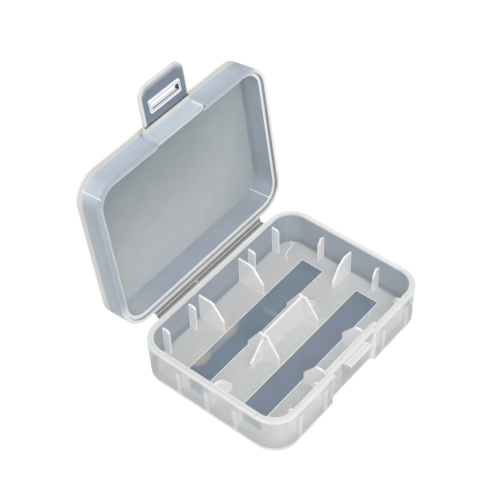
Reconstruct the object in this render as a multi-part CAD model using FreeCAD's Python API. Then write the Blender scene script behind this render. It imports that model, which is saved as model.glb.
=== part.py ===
import FreeCAD, Part
import os
from math import sqrt

# Two-cell battery case in translucent plastic: a shallow base, a lid on a moulded hinge, and a latch flap.
# Lengths in millimetres, angles in degrees. X runs along the hinge, +Y points from the latch to the hinge
# and +Z is up. The origin lies under the centre of the base, on the face that it stands on.
# The lid and the latch are built closed over the base and then turned open about the main hinge.

# Whole case
case_length = 76.0
case_width = 57.0
corner_radius = 9.0
rim_gap = 0.1
lid_open_angle = 97.0

# Base shell
base_height = 14.3
base_wall = 2.2
base_draft_inset = 0.4
floor_thickness = 1.6
bottom_edge_round = 0.4
lip_width = 0.85
lip_height = 0.65

# Latch recess in the front of both shells, and the notch that it makes in the lid's rim
recess_half_width = 10.4
recess_round = 0.5
base_recess_depth = 1.2
base_recess_draft_inset = 0.3
lid_recess_depth = 1.05
lid_recess_height = 7.6
lid_notch_height = 1.5

# Cell rows, and the clear panes in the floor under them
row_offset = 11.2
pane_end_margin = 5.9
pane_width = 8.5
pane_thickness = 0.9
pane_drop = 0.15

# Reaches below are measured in from the inside of a wall, drops down from the base's ledge,
# and toe heights up from the floor.

# Large cradle fins on the long walls
fin_spacing = 20.0
fin_thickness = 0.7
fin_drop = 2.1
side_fin_toe_reach = 10.2
side_fin_toe_height = 4.4
side_fin_shoulder_reach = 5.5
side_fin_toe_round = 1.3
side_fin_shoulder_round = 2.0

# Centre fins, the web between them and the gussets beyond them
centre_fin_half_foot = 6.3
centre_fin_toe_height = 3.0
centre_fin_half_top = 1.6
centre_fin_toe_round = 2.0
centre_fin_top_round = 0.5
centre_web_drop = 2.0
gusset_length = 6.1
gusset_toe_height = 2.3
gusset_toe_round = 0.8
gusset_neck = 0.5
gusset_neck_drop = 4.4

# Large fins at the two ends of the centre line
end_fin_drop = 3.3
end_fin_wall_drop = 3.9
end_fin_peak_reach = 3.2
end_fin_bulge_reach = 6.2
end_fin_bulge_drop = 5.1
end_fin_toe_reach = 9.6
end_fin_toe_height = 2.5
end_fin_peak_round = 1.5
end_fin_bulge_round = 3.0
end_fin_toe_round = 1.2

# Small stops at the ends of each row
end_stop_thickness = 0.7
end_stop_drop = 3.5
end_stop_wall_drop = 4.5
end_stop_peak_reach = 1.4
end_stop_shoulder_reach = 2.8
end_stop_shoulder_drop = 5.8
end_stop_foot_reach = 3.0
end_stop_peak_round = 0.4
end_stop_shoulder_round = 1.5

# Small ribs on the long walls: one beside each large fin and one near each end wall
rib_thickness = 0.7
rib_fin_spacing = 5.0
rib_end_spacing = 8.3
rib_reach = 2.7
rib_drop = 1.9
rib_top_round = 1.2

# Catch bar in the front recess: its tip stands out past the front of the case, its back lies inside it
catch_length = 10.8
catch_rise = 0.5
catch_thickness = 1.3
catch_tip_reach = 1.9
catch_back_inset = 0.2
catch_root_top_gap = 0.15
catch_root_height = 1.9
catch_tip_round = 0.25

# Main hinge along the back of the rim
hinge_length = 52.0
hinge_reach = 1.6
hinge_flange_thickness = 0.9
hinge_face_gap = 0.05
hinge_bead_radius = 0.26
hinge_bead_clearance = 0.06

# Lid shell
lid_depth = 10.3
lid_wall = 2.5
lid_draft_inset = 0.25
panel_thickness = 1.2
panel_edge_round = 0.8
skirt_height = 0.9
skirt_clearance = 0.2

# Latch flap, with its crease measured from the lid's rim and from the front of the case
latch_crease_rise = 5.4
latch_crease_reach = 2.7
latch_half_width = 9.6
latch_length = 13.4
latch_thickness = 1.1
latch_tip_round = 3.7
slot_centre = 5.75
slot_length = 11.8
slot_width = 2.2
slot_round = 0.3
collar_height = 0.6
collar_wall = 1.15
collar_end_wall = 0.8
collar_round = 0.5

# One overrun for every cut that passes through a face
overrun = 3.0

# Places worked out from the sizes above
half_length = case_length / 2
half_width = case_width / 2
inner_x = half_length - base_wall
inner_y = half_width - base_wall
ledge_width = base_wall - lip_width
lip_top = base_height + lip_height
fin_top = base_height - fin_drop
pane_half_length = inner_x - pane_end_margin
rib_places = (fin_spacing / 2 + rib_fin_spacing, inner_x - rib_end_spacing)
lid_rim = base_height + rim_gap
lid_top = lid_rim + lid_depth
lid_ceiling = lid_top - panel_thickness
skirt_top = lid_rim + skirt_height
skirt_width = ledge_width - skirt_clearance
hinge_y = half_width + hinge_reach
hinge_z = base_height + rim_gap / 2
latch_y = -(half_width + latch_crease_reach)
latch_z = lid_rim + latch_crease_rise
bead_gap = hinge_bead_radius + hinge_bead_clearance


def corner_arc(before, corner, after, radius):
    """The arc that rounds one corner between its two neighbours: its two ends and its middle."""
    back = (before - corner).normalize()
    ahead = (after - corner).normalize()
    half_angle_cos = sqrt((1 + back.dot(ahead)) / 2)
    half_angle_sin = sqrt((1 - back.dot(ahead)) / 2)
    reach = radius * half_angle_cos / half_angle_sin
    middle_reach = radius / half_angle_sin - radius
    bisector = (back + ahead).normalize()
    return corner + back * reach, corner + bisector * middle_reach, corner + ahead * reach


def rounded_wire(corners):
    """A closed wire through corners given as (point, radius), where a radius of zero stays sharp."""
    count = len(corners)
    starts = []
    ends = []
    arcs = []
    for index, (corner, radius) in enumerate(corners):
        if radius > 0:
            before = corners[index - 1][0]
            after = corners[(index + 1) % count][0]
            start, middle, end = corner_arc(before, corner, after, radius)
            arcs.append(Part.Arc(start, middle, end).toShape())
        else:
            start = corner
            end = corner
            arcs.append(None)
        starts.append(start)
        ends.append(end)
    edges = []
    for index in range(count):
        if arcs[index]:
            edges.append(arcs[index])
        edges.append(Part.LineSegment(ends[index], starts[(index + 1) % count]).toShape())
    return Part.Wire(edges)


def recessed_wire(z, inset, recess_depth):
    """The case's outline at one height, drawn in by inset, with the latch recess in its front."""
    x = half_length - inset
    y = half_width - inset
    radius = corner_radius - inset
    recess_x = recess_half_width + inset
    recess_y = y - recess_depth
    places = (
        (-x, -y, radius),
        (-recess_x, -y, recess_round),
        (-recess_x, -recess_y, recess_round),
        (recess_x, -recess_y, recess_round),
        (recess_x, -y, recess_round),
        (x, -y, radius),
        (x, y, radius),
        (-x, y, radius),
    )
    return rounded_wire([(FreeCAD.Vector(px, py, z), r) for px, py, r in places])


def plain_wire(z, inset):
    """The case's outline at one height, drawn in by inset, without the latch recess."""
    x = half_length - inset
    y = half_width - inset
    radius = corner_radius - inset
    places = ((-x, -y), (x, -y), (x, y), (-x, y))
    return rounded_wire([(FreeCAD.Vector(px, py, z), radius) for px, py in places])


def between(lower_wire, upper_wire):
    """The solid between two outlines of the same make."""
    return Part.makeLoft([lower_wire, upper_wire], True, True)


def recessed_block(bottom, top, inset):
    """An upright block over the base's outline, with the recess as deep as at the rim."""
    lower = recessed_wire(bottom, inset, base_recess_depth)
    upper = recessed_wire(top, inset, base_recess_depth)
    return between(lower, upper)


def plain_block(bottom, top, inset):
    """An upright block over the case's outline without the recess."""
    return between(plain_wire(bottom, inset), plain_wire(top, inset))


def box_between(x_low, x_high, y_low, y_high, z_low, z_high):
    """A box given by its limits."""
    corner = FreeCAD.Vector(x_low, y_low, z_low)
    return Part.makeBox(x_high - x_low, y_high - y_low, z_high - z_low, corner)


def plate_across(places, x, thickness):
    """A plate square to X and centred on x. Its outline is given as (y, z, radius)."""
    corners = [(FreeCAD.Vector(x - thickness / 2, y, z), radius) for y, z, radius in places]
    return Part.Face(rounded_wire(corners)).extrude(FreeCAD.Vector(thickness, 0, 0))


def plate_along(places, y, thickness):
    """A plate square to Y and centred on y. Its outline is given as (x, z, radius)."""
    corners = [(FreeCAD.Vector(x, y - thickness / 2, z), radius) for x, z, radius in places]
    return Part.Face(rounded_wire(corners)).extrude(FreeCAD.Vector(0, thickness, 0))


def rounded_slab(x_half, y_low, y_high, radii, z_low, z_high):
    """A flat slab centred on X, with one radius for its two low-Y corners and one for its high-Y corners."""
    low_radius, high_radius = radii
    places = (
        (-x_half, y_low, low_radius),
        (x_half, y_low, low_radius),
        (x_half, y_high, high_radius),
        (-x_half, y_high, high_radius),
    )
    wire = rounded_wire([(FreeCAD.Vector(x, y, z_low), radius) for x, y, radius in places])
    return Part.Face(wire).extrude(FreeCAD.Vector(0, 0, z_high - z_low))


def round_flat_outline(shape, z, radius):
    """Rounds the outer edges that lie flat at height z."""
    flat_face = [face for face in shape.Faces if is_flat_at(face, z)][0]
    return shape.makeFillet(radius, flat_face.OuterWire.Edges)


def is_flat_at(face, z):
    """True for a face that lies wholly at height z."""
    return abs(face.BoundBox.ZMin - z) < 1e-6 and abs(face.BoundBox.ZMax - z) < 1e-6


def base_inset_at(z):
    """How far the drafted outer wall of the base has drawn in at height z."""
    return base_draft_inset * (base_height - z) / base_height


def base_recess_depth_at(z):
    """How deep the drafted recess of the base is at height z."""
    return base_recess_depth + base_recess_draft_inset * (base_height - z) / base_height


def base_block(bottom, top):
    """The base's drafted outside, filled, from one height to another."""
    lower = recessed_wire(bottom, base_inset_at(bottom), base_recess_depth_at(bottom))
    upper = recessed_wire(top, base_inset_at(top), base_recess_depth_at(top))
    return between(lower, upper)


def base_cavity():
    """The space inside the base's walls, above its floor."""
    return recessed_block(floor_thickness, lip_top, base_wall)


def pane_block(row, bottom, top):
    """The upright block over the pane of one cell row."""
    y = row * row_offset
    x = pane_half_length
    return box_between(-x, x, y - pane_width / 2, y + pane_width / 2, bottom, top)


def base_floor():
    slab = base_block(0, floor_thickness)
    slab = round_flat_outline(slab, 0, bottom_edge_round)
    for row in (-1, 1):
        slab = slab.cut(pane_block(row, -overrun, floor_thickness + overrun))
    return slab


def floor_pane(row):
    top = floor_thickness - pane_drop
    return pane_block(row, top - pane_thickness, top)


def base_walls():
    inside = recessed_block(floor_thickness - overrun, base_height + overrun, base_wall)
    return base_block(floor_thickness, base_height).cut(inside)


def base_lip():
    inside = recessed_block(base_height - overrun, lip_top + overrun, base_wall)
    return recessed_block(base_height, lip_top, ledge_width).cut(inside)


def side_fin(x, side):
    """A large cradle fin: side is 1 on the hinge wall and -1 on the front wall."""
    toe = side * (inner_y - side_fin_toe_reach)
    shoulder = side * (inner_y - side_fin_shoulder_reach)
    places = (
        (side * half_width, floor_thickness, 0),
        (toe, floor_thickness, 0),
        (toe, floor_thickness + side_fin_toe_height, side_fin_toe_round),
        (shoulder, fin_top, side_fin_shoulder_round),
        (side * half_width, fin_top, 0),
    )
    return plate_across(places, x, fin_thickness).common(base_cavity())


def centre_fin(x):
    toe_top = floor_thickness + centre_fin_toe_height
    places = (
        (-centre_fin_half_foot, floor_thickness, 0),
        (centre_fin_half_foot, floor_thickness, 0),
        (centre_fin_half_foot, toe_top, centre_fin_toe_round),
        (centre_fin_half_top, fin_top, centre_fin_top_round),
        (-centre_fin_half_top, fin_top, centre_fin_top_round),
        (-centre_fin_half_foot, toe_top, centre_fin_toe_round),
    )
    return plate_across(places, x, fin_thickness)


def centre_web():
    x = fin_spacing / 2 - fin_thickness / 2
    y = fin_thickness / 2
    return box_between(-x, x, -y, y, floor_thickness, base_height - centre_web_drop)


def centre_gusset(side):
    root = fin_spacing / 2 + fin_thickness / 2
    neck = root + gusset_neck
    toe = root + gusset_length
    places = (
        (side * root, floor_thickness, 0),
        (side * toe, floor_thickness, 0),
        (side * toe, floor_thickness + gusset_toe_height, gusset_toe_round),
        (side * neck, base_height - gusset_neck_drop, 0),
        (side * root, fin_top, 0),
    )
    return plate_along(places, 0, fin_thickness)


def end_fin(side):
    toe = side * (inner_x - end_fin_toe_reach)
    bulge = side * (inner_x - end_fin_bulge_reach)
    peak = side * (inner_x - end_fin_peak_reach)
    places = (
        (side * half_length, floor_thickness, 0),
        (toe, floor_thickness, 0),
        (toe, floor_thickness + end_fin_toe_height, end_fin_toe_round),
        (bulge, base_height - end_fin_bulge_drop, end_fin_bulge_round),
        (peak, base_height - end_fin_drop, end_fin_peak_round),
        (side * half_length, base_height - end_fin_wall_drop, 0),
    )
    return plate_along(places, 0, fin_thickness).common(base_cavity())


def end_stop(side, row):
    foot = side * (inner_x - end_stop_foot_reach)
    shoulder = side * (inner_x - end_stop_shoulder_reach)
    peak = side * (inner_x - end_stop_peak_reach)
    places = (
        (side * half_length, floor_thickness, 0),
        (foot, floor_thickness, 0),
        (shoulder, base_height - end_stop_shoulder_drop, end_stop_shoulder_round),
        (peak, base_height - end_stop_drop, end_stop_peak_round),
        (side * half_length, base_height - end_stop_wall_drop, 0),
    )
    return plate_along(places, row * row_offset, end_stop_thickness).common(base_cavity())


def wall_rib(x, side):
    """A small rib: side is 1 on the hinge wall and -1 on the front wall."""
    foot = side * (inner_y - rib_reach)
    top = base_height - rib_drop
    places = (
        (side * half_width, floor_thickness, 0),
        (foot, floor_thickness, 0),
        (foot, top, rib_top_round),
        (side * half_width, top, 0),
    )
    return plate_across(places, x, rib_thickness).common(base_cavity())


def catch_bar():
    root_top = base_height - catch_root_top_gap
    root_bottom = root_top - catch_root_height
    nose_top = base_height + catch_rise
    nose_bottom = nose_top - catch_thickness
    back = -(half_width - catch_back_inset)
    tip = -(half_width + catch_tip_reach)
    places = (
        (-inner_y, root_bottom, 0),
        (back, root_bottom, 0),
        (back, nose_bottom, 0),
        (tip, nose_bottom, catch_tip_round),
        (tip, nose_top, catch_tip_round),
        (back, nose_top, 0),
        (back, root_top, 0),
        (-inner_y, root_top, 0),
    )
    bar = plate_across(places, 0, catch_length)
    return bar.cut(base_block(0, base_height))


def base_hinge_flange():
    x = hinge_length / 2
    top = hinge_z - hinge_face_gap
    strip = box_between(-x, x, inner_y, hinge_y - bead_gap, top - hinge_flange_thickness, top)
    return strip.cut(base_block(0, base_height))


def hinge_bead(x_half, y, z, flange_y, flange_z):
    """The thin web of a moulded hinge: a bead on the axis, with a neck back to its flange's end and face."""
    start = FreeCAD.Vector(-x_half, y, z)
    bead = Part.makeCylinder(hinge_bead_radius, x_half * 2, start, FreeCAD.Vector(1, 0, 0))
    side = 1 if flange_z > z else -1
    y_low, y_high = sorted((y, flange_y))
    z_low, z_high = sorted((flange_z, z + side * hinge_bead_radius))
    neck = box_between(-x_half, x_half, y_low, y_high, z_low, z_high)
    return bead.fuse(neck).removeSplitter()


def main_hinge_web():
    return hinge_bead(hinge_length / 2, hinge_y, hinge_z, hinge_y - bead_gap, hinge_z - hinge_face_gap)


def lid_inset_at(z):
    """How far the drafted outer wall of the lid has drawn in at height z."""
    return lid_draft_inset * (z - lid_rim) / lid_depth


def lid_block(bottom, top):
    """The lid's drafted outside, filled, from one height to another. The recess stops below the panel."""
    recess_top = min(lid_rim + lid_recess_height, top)
    lower = recessed_wire(bottom, lid_inset_at(bottom), lid_recess_depth)
    upper = recessed_wire(recess_top, lid_inset_at(recess_top), lid_recess_depth)
    block = between(lower, upper)
    if top > recess_top:
        plain_lower = plain_wire(recess_top, lid_inset_at(recess_top))
        plain_upper = plain_wire(top, lid_inset_at(top))
        block = block.fuse(between(plain_lower, plain_upper))
    return block


def lid_panel():
    lower = plain_wire(lid_ceiling, lid_inset_at(lid_ceiling))
    upper = plain_wire(lid_top, lid_inset_at(lid_top))
    return round_flat_outline(between(lower, upper), lid_top, panel_edge_round)


def lid_notch():
    """The block that opens the lid's rim across the latch recess."""
    x = recess_half_width
    y = half_width + overrun
    return box_between(-x, x, -y, 0, lid_rim - overrun, lid_rim + lid_notch_height)


def lid_walls():
    inside = plain_block(skirt_top - overrun, lid_ceiling + overrun, lid_wall)
    return lid_block(skirt_top, lid_ceiling).cut(inside).cut(lid_notch())


def lid_skirt():
    inside = plain_block(lid_rim - overrun, skirt_top + overrun, skirt_width)
    return lid_block(lid_rim, skirt_top).cut(inside).cut(lid_notch())


def lid_hinge_flange():
    x = hinge_length / 2
    bottom = hinge_z + hinge_face_gap
    y_low = half_width - skirt_width
    strip = box_between(-x, x, y_low, hinge_y - bead_gap, bottom, bottom + hinge_flange_thickness)
    return strip.cut(lid_block(lid_rim, skirt_top))


def latch_flange():
    """The strip that carries the latch: as wide as the recess where it leaves the lid, then flared in."""
    bottom = latch_z + hinge_face_gap
    inset = lid_inset_at(bottom + latch_thickness)
    crease_y = latch_y + bead_gap
    front_y = inset - half_width
    back_y = lid_wall - half_width
    wide_x = recess_half_width + inset
    places = (
        (-latch_half_width, crease_y),
        (latch_half_width, crease_y),
        (wide_x, front_y),
        (wide_x, back_y),
        (-wide_x, back_y),
        (-wide_x, front_y),
    )
    wire = rounded_wire([(FreeCAD.Vector(x, y, bottom), 0) for x, y in places])
    strip = Part.Face(wire).extrude(FreeCAD.Vector(0, 0, latch_thickness))
    return strip.cut(lid_block(lid_rim, lid_ceiling))


def latch_hinge_web():
    return hinge_bead(latch_half_width, latch_y, latch_z, latch_y + bead_gap, latch_z + hinge_face_gap)


def latch_slot(bottom, top):
    """The upright block that the slot takes out of the flap and its collar."""
    y = latch_y - slot_centre
    radii = (slot_round, slot_round)
    return rounded_slab(slot_length / 2, y - slot_width / 2, y + slot_width / 2, radii, bottom, top)


def latch_flap():
    bottom = latch_z + hinge_face_gap
    top = bottom + latch_thickness
    y_low = latch_y - latch_length
    flap = rounded_slab(latch_half_width, y_low, latch_y - bead_gap, (latch_tip_round, 0), bottom, top)
    return flap.cut(latch_slot(bottom - overrun, top + overrun))


def latch_collar():
    top = latch_z + hinge_face_gap
    bottom = top - collar_height
    y = latch_y - slot_centre
    x_half = slot_length / 2 + collar_end_wall
    y_half = slot_width / 2 + collar_wall
    radii = (collar_round, collar_round)
    collar = rounded_slab(x_half, y - y_half, y + y_half, radii, bottom, top)
    return collar.cut(latch_slot(bottom - overrun, top + overrun))


def base_pieces():
    """Every piece of the base, by name."""
    pieces = {
        "base_floor": base_floor(),
        "base_walls": base_walls(),
        "base_lip": base_lip(),
        "centre_web": centre_web(),
        "catch_bar": catch_bar(),
        "base_hinge_flange": base_hinge_flange(),
        "main_hinge_web": main_hinge_web(),
    }
    for end, end_name in ((-1, "left"), (1, "right")):
        fin_x = end * fin_spacing / 2
        pieces["centre_fin_" + end_name] = centre_fin(fin_x)
        pieces["centre_gusset_" + end_name] = centre_gusset(end)
        pieces["end_fin_" + end_name] = end_fin(end)
        for side, side_name in ((-1, "front"), (1, "hinge")):
            pieces[side_name + "_fin_" + end_name] = side_fin(fin_x, side)
            pieces[side_name + "_end_stop_" + end_name] = end_stop(end, side)
            for number, place in enumerate(rib_places, start=1):
                pieces[side_name + "_rib_" + end_name + "_" + str(number)] = wall_rib(end * place, side)
    pieces["floor_pane_front"] = floor_pane(-1)
    pieces["floor_pane_hinge"] = floor_pane(1)
    return pieces


def lid_pieces():
    """Every piece of the lid and its latch, closed over the base, by name."""
    return {
        "lid_panel": lid_panel(),
        "lid_walls": lid_walls(),
        "lid_skirt": lid_skirt(),
        "lid_hinge_flange": lid_hinge_flange(),
        "latch_flange": latch_flange(),
        "latch_hinge_web": latch_hinge_web(),
        "latch_flap": latch_flap(),
        "latch_collar": latch_collar(),
    }


def opened(shape):
    """A piece of the closed lid, turned open about the main hinge."""
    turned = shape.copy()
    turned.rotate(FreeCAD.Vector(0, hinge_y, hinge_z), FreeCAD.Vector(1, 0, 0), -lid_open_angle)
    return turned


os.makedirs("parts", exist_ok=True)
all_pieces = base_pieces()
for name, shape in lid_pieces().items():
    all_pieces[name] = opened(shape)
for name, shape in all_pieces.items():
    print(name, "solids", len(shape.Solids), "valid", shape.isValid(), "volume", round(shape.Volume, 3))
    shape.exportStep("parts/" + name + ".step")
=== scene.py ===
"""Looks of the open two-cell battery case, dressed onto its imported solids."""
import math

import bmesh
import bpy
from mathutils import Matrix, Vector


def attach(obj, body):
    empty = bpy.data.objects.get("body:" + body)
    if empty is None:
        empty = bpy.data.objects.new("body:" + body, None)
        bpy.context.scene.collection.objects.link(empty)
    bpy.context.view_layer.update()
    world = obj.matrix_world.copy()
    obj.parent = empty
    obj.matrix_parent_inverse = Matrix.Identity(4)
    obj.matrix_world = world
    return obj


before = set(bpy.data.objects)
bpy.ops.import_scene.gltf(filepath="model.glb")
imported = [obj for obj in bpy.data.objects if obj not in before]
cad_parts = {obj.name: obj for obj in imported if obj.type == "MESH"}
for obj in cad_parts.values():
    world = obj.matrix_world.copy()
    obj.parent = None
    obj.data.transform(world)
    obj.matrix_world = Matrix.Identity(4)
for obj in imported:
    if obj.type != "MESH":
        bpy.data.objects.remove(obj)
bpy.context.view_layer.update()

mm = 0.001

# Camera, fitted to the photograph
camera_place = (-224.782936 * mm, -181.225481 * mm, 355.179563 * mm)
camera_turn = (0.745567, 0.026705, -0.887768)
image_side = 500
focal_pixels = 1420.7235
sensor_width = 36.0
nearest_seen = 0.01

# Stage and lights
floor_side = 4.0
floor_drop = 0.05 * mm
floor_paint = (0.85, 0.85, 0.85, 1)
floor_lift_strength = 0.35
backdrop_strength = 1.0
sky_strength = 0.62
key_place = (-0.3, -0.45, 0.85)
key_side = 0.8
key_power = 11.5
fill_place = (-0.9, 0.3, 0.35)
fill_side = 0.5
fill_power = 0.8

# Place of the lid's hinge line, and how far the lid is turned open from shut
hinge_y = 30.1 * mm
hinge_z = 14.35 * mm
lid_turn = math.radians(97)

# Sizes of the base, as the solids have them
inner_half_length = 35.8 * mm
inner_half_width = 26.3 * mm
corner_radius = 6.8 * mm
corner_middle = (29.0 * mm, 19.5 * mm)
floor_top = 1.6 * mm
pane_half_length = 29.9 * mm
pane_half_width = 4.25 * mm
pane_row = 11.2 * mm
pane_corner = 0.1 * mm
recess_half = 10.4 * mm
recess_back = 26.6 * mm
catch_half = 5.4 * mm

# Sizes of the lid and the latch when shut, as the solids have them
lid_top = 24.7 * mm
lid_rim = 14.4 * mm
lid_ceiling = 23.5 * mm
lid_inner_half_length = 35.5 * mm
lid_inner_half_width = 26.0 * mm
lid_inner_corner = 6.5 * mm
flap_half = 9.6 * mm
flap_tip = -44.7 * mm
flap_reach = 20.0 * mm
flap_round = 3.7 * mm
slot_y = -36.95 * mm
slot_half_length = 5.9 * mm
slot_half_width = 1.1 * mm
slot_corner = 0.3 * mm

# Where fins stand against the base's walls, measured from the middle of the case
long_wall_fins = (10.0 * mm, 15.0 * mm, 27.5 * mm)
end_wall_fins = (0.0, 11.2 * mm)
root_half = 0.9 * mm
root_softness = 0.5 * mm
root_top = 11.5 * mm

# Fine ribs moulded on the floor
rib_pitch = 0.58 * mm
rib_width = 0.3 * mm
rib_height = 0.12 * mm
rib_margin = 0.45 * mm

# Thin raised lines left by the mould, by angle round a corner and by height
mark_radius = 0.14 * mm
mark_sides = 6
lid_mark_angle = 220
lid_mark_top = 22.0 * mm
lid_mark_top_reach = 8.8 * mm
lid_mark_rim_reach = 9.0 * mm
inner_mark_angle = 57
panel_mark_end = (24.4 * mm, 14.5 * mm)
base_mark_angle = 50
base_mark_top = 12.0 * mm
floor_mark_bends = (
    (34.16 * mm, 24.08 * mm),
    (34.05 * mm, 22.7 * mm),
    (32.6 * mm, 22.1 * mm),
    (30.46 * mm, 22.05 * mm),
    (28.2 * mm, 21.2 * mm),
    (26.65 * mm, 19.49 * mm),
)

# Screen colours run from 0 to 255, and their light follows the screen's standard curve
screen_full = 255
screen_toe = 0.04045
screen_toe_slope = 12.92
screen_offset = 0.055
screen_power = 2.4

# Sockets of the Mix node, which share their names
number_inputs = (2, 3)
colour_inputs = (6, 7)
colour_output = 2

# Light in the plastic, its clouds, its grain and its edges
plastic_index = 1.49
shadow_share = 0.35
cloud_detail = 3
cloud_range = (0.3, 0.7)
grain_detail = 2
grain_strength = 0.4
edge_samples = 10
edge_agreement = (0.995, 0.86)
band_softness = 0.25 * mm
side_softness = 2 * mm

# Turns of a face, from where a share is 0 to where it is 1
upward = (0.6, 0.8)
downward = (-0.6, -0.8)
underneath = (0.2, -0.2)
frontward = (-0.4, -0.8)
foot_frontward = (-0.4, -0.9)
sideways = (0.6, 0.8)
upright = (0.6, 0.4)
near_side = (-0.3, 0.3)
off_level = (0.8, 0.6)
panel_bend = (0.97, 0.8)
left_bend = (-0.25, -0.6)
corner_bend = (0.25, 0.6)
corner_way = (-0.2, 0.2)

# Clouds of each finish: their size, and how much lighter and darker they are
wall_clouds = (9 * mm, 0.03)
lid_clouds = (9 * mm, 0.04)
skirt_clouds = (5 * mm, 0.02)
panel_clouds = (6 * mm, 0.03)
panel_speckle = (0.7 * mm, 0.025)
lip_clouds = (5 * mm, 0.02)
floor_clouds = (8 * mm, 0.03)
pane_clouds = (12 * mm, 0.06)
fin_clouds = (3 * mm, 0.03)
hinge_clouds = (2 * mm, 0.1)
crease_clouds = (1 * mm, 0.08)
latch_crease_clouds = (1 * mm, 0.1)
flange_clouds = (5 * mm, 0.03)
flap_clouds = (4 * mm, 0.04)

# Grain of each finish: its size and its depth
wall_grain = (0.8 * mm, 0.02 * mm)
panel_grain = (0.35 * mm, 0.04 * mm)
thin_grain = (0.8 * mm, 0.015 * mm)
floor_grain = (0.5 * mm, 0.02 * mm)
pane_waves = (6 * mm, 0.05 * mm)
flap_grain = (0.6 * mm, 0.02 * mm)

# Walls of the base: painted shade on the inner faces, in the recess, under the catch and where the windows
# show through, and painted light on the front, the foot, the fin roots, the recess cheeks and the ledge
wall_inner_far_shade = (142, 154, 165)
wall_inner_near_lit = (190, 194, 199)
wall_outer = (195, 197, 197)
wall_outer_front_lit = (206, 207, 205)
wall_foot_lit = (206, 207, 206)
foot_painted_light_heights = (7 * mm, floor_top)
wall_window_shade = (136, 144, 156)
wall_recess_shade = (192, 194, 193)
wall_catch_shadow = (150, 150, 149)
wall_root_lit = (224, 225, 224)
wall_cheek_highlight = (222, 222, 214)
ledge_dim = (204, 205, 204)
ledge_lit = (214, 215, 214)
wall_roughness = 0.32
wall_outer_cover = 0.4
wall_marked_cover = 0.5
wall_recess_cover = 0.5
wall_catch_cover = 0.85
wall_far_cover = 0.72
wall_near_cover = 0.42
wall_solid_cover = 0.92
cheek_full_share = 1.1
cheek_end_share = 1.12

# Patches of painted shade on the end walls, where the dark windows show through: where each one starts and
# ends, and how soft it is
hinge_patch_across = (0.9 * mm, 6.3 * mm, 0.5 * mm)
hinge_patch_up = (8.5 * mm, 14 * mm, 0.8 * mm)
front_patch_across = (-21.5 * mm, -14.5 * mm, 0.6 * mm)
front_patch_up = (10 * mm, 14 * mm, 0.8 * mm)

# Raised rim of the base, with painted light towards its right end and painted highlights along its edges
lip_dim = (206, 207, 206)
lip_lit = (216, 217, 216)
lip_edge_highlight = (224, 225, 224)
lip_edge_reach = 0.25 * mm
lip_roughness = 0.28
lip_cover = 0.8
rim_lit_along = (-20 * mm, 34 * mm)
rim_lit_across = (-24 * mm, -16 * mm)

# Walls of the lid: painted shade on the inner faces, lighter at the left, painted light on the front faces,
# at the bent corners and in the recess, and painted highlights on the cheeks, the band along the top and the
# rim's inner edge
lid_inner_shade = (146, 158, 169)
lid_inner_hinge_shade = (139, 149, 159)
lid_inner_left_lit = (158, 166, 172)
lid_inner_left_along = (-18 * mm, -34 * mm)
lid_outer = (163, 173, 182)
lid_outer_front_lit = (176, 189, 201)
lid_bend_highlight_front = (187, 197, 207)
lid_bend_highlight_hinge = (198, 202, 204)
lid_recess_lit = (201, 210, 217)
lid_cheek_highlight = (246, 248, 249)
lid_edge_highlight = (224, 224, 220)
lid_edge_band = 3.2 * mm
lid_edge_fade = (-0.7 * mm, 0.5 * mm)
rim_highlight_dim = (208, 214, 218)
rim_highlight_lit = (238, 241, 242)
rim_beside_dim = (173, 182, 190)
rim_beside_lit = (160, 164, 168)
rim_line_width = 1.0 * mm
rim_line_hinge_width = 1.4 * mm
rim_line_widens = (22 * mm, 26 * mm)
rim_line_fade = (0.15 * mm, -0.15 * mm)
rim_line_dim_fade = (1.5 * mm, 0.2 * mm)
lit_right = (31 * mm, 35.5 * mm)
lit_hinge = (15 * mm, 22 * mm)
lid_roughness = 0.32
lid_outer_cover = 0.62
lid_inner_cover = 0.8

# Skirt and panel of the lid, with painted light and shade by side, painted shade in the skirt's groove,
# painted light across the panel and a painted highlight along its edge
skirt_dim = (160, 169, 178)
skirt_lit = (220, 221, 218)
skirt_groove_shade = (140, 144, 148)
skirt_roughness = 0.28
skirt_cover = 0.85
panel_front_shade = (134, 142, 147)
panel_hinge_lit = (178, 182, 184)
panel_right_lit = (160, 167, 169)
panel_edge_highlight = (226, 226, 222)
panel_hinge_across = (-20 * mm, 26 * mm)
panel_right_along = (5 * mm, 40 * mm)
panel_roughness = 0.5
panel_cover = 0.92

# Floor, with painted highlights on its ribs and in the lines round its windows, and painted shade on the
# front of its foot
floor_colour = (163, 164, 164)
window_edge_highlight = (212, 213, 212)
floor_line_fade = (0.4 * mm, 0.25 * mm)
foot_colour = (207, 206, 197)
foot_front_shade = (196, 195, 187)
floor_roughness = 0.36
floor_cover = 0.96
rib_highlight = (194, 195, 195)
rib_roughness = 0.25

# Windows of the floor, dark with painted shade, with painted reflections as soft spots, each by its middle,
# reach and colour
pane_shade_colour = (108, 120, 133)
broad_reflection = ((-15 * mm, 15.2 * mm), (14 * mm, 2.6 * mm), (134, 138, 138))
left_reflection = ((-23 * mm, 15 * mm), (4.6 * mm, 2.8 * mm), (156, 150, 143))
middle_reflection = ((-9 * mm, 15 * mm), (4.2 * mm, 2.2 * mm), (150, 147, 145))
swirl_reflection = ((5.5 * mm, 9.5 * mm), (1.6 * mm, 4 * mm), (122, 134, 147))
spot_fade = (1.0, 0.1)
pane_roughness = 0.12
pane_cover = 0.95

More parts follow.
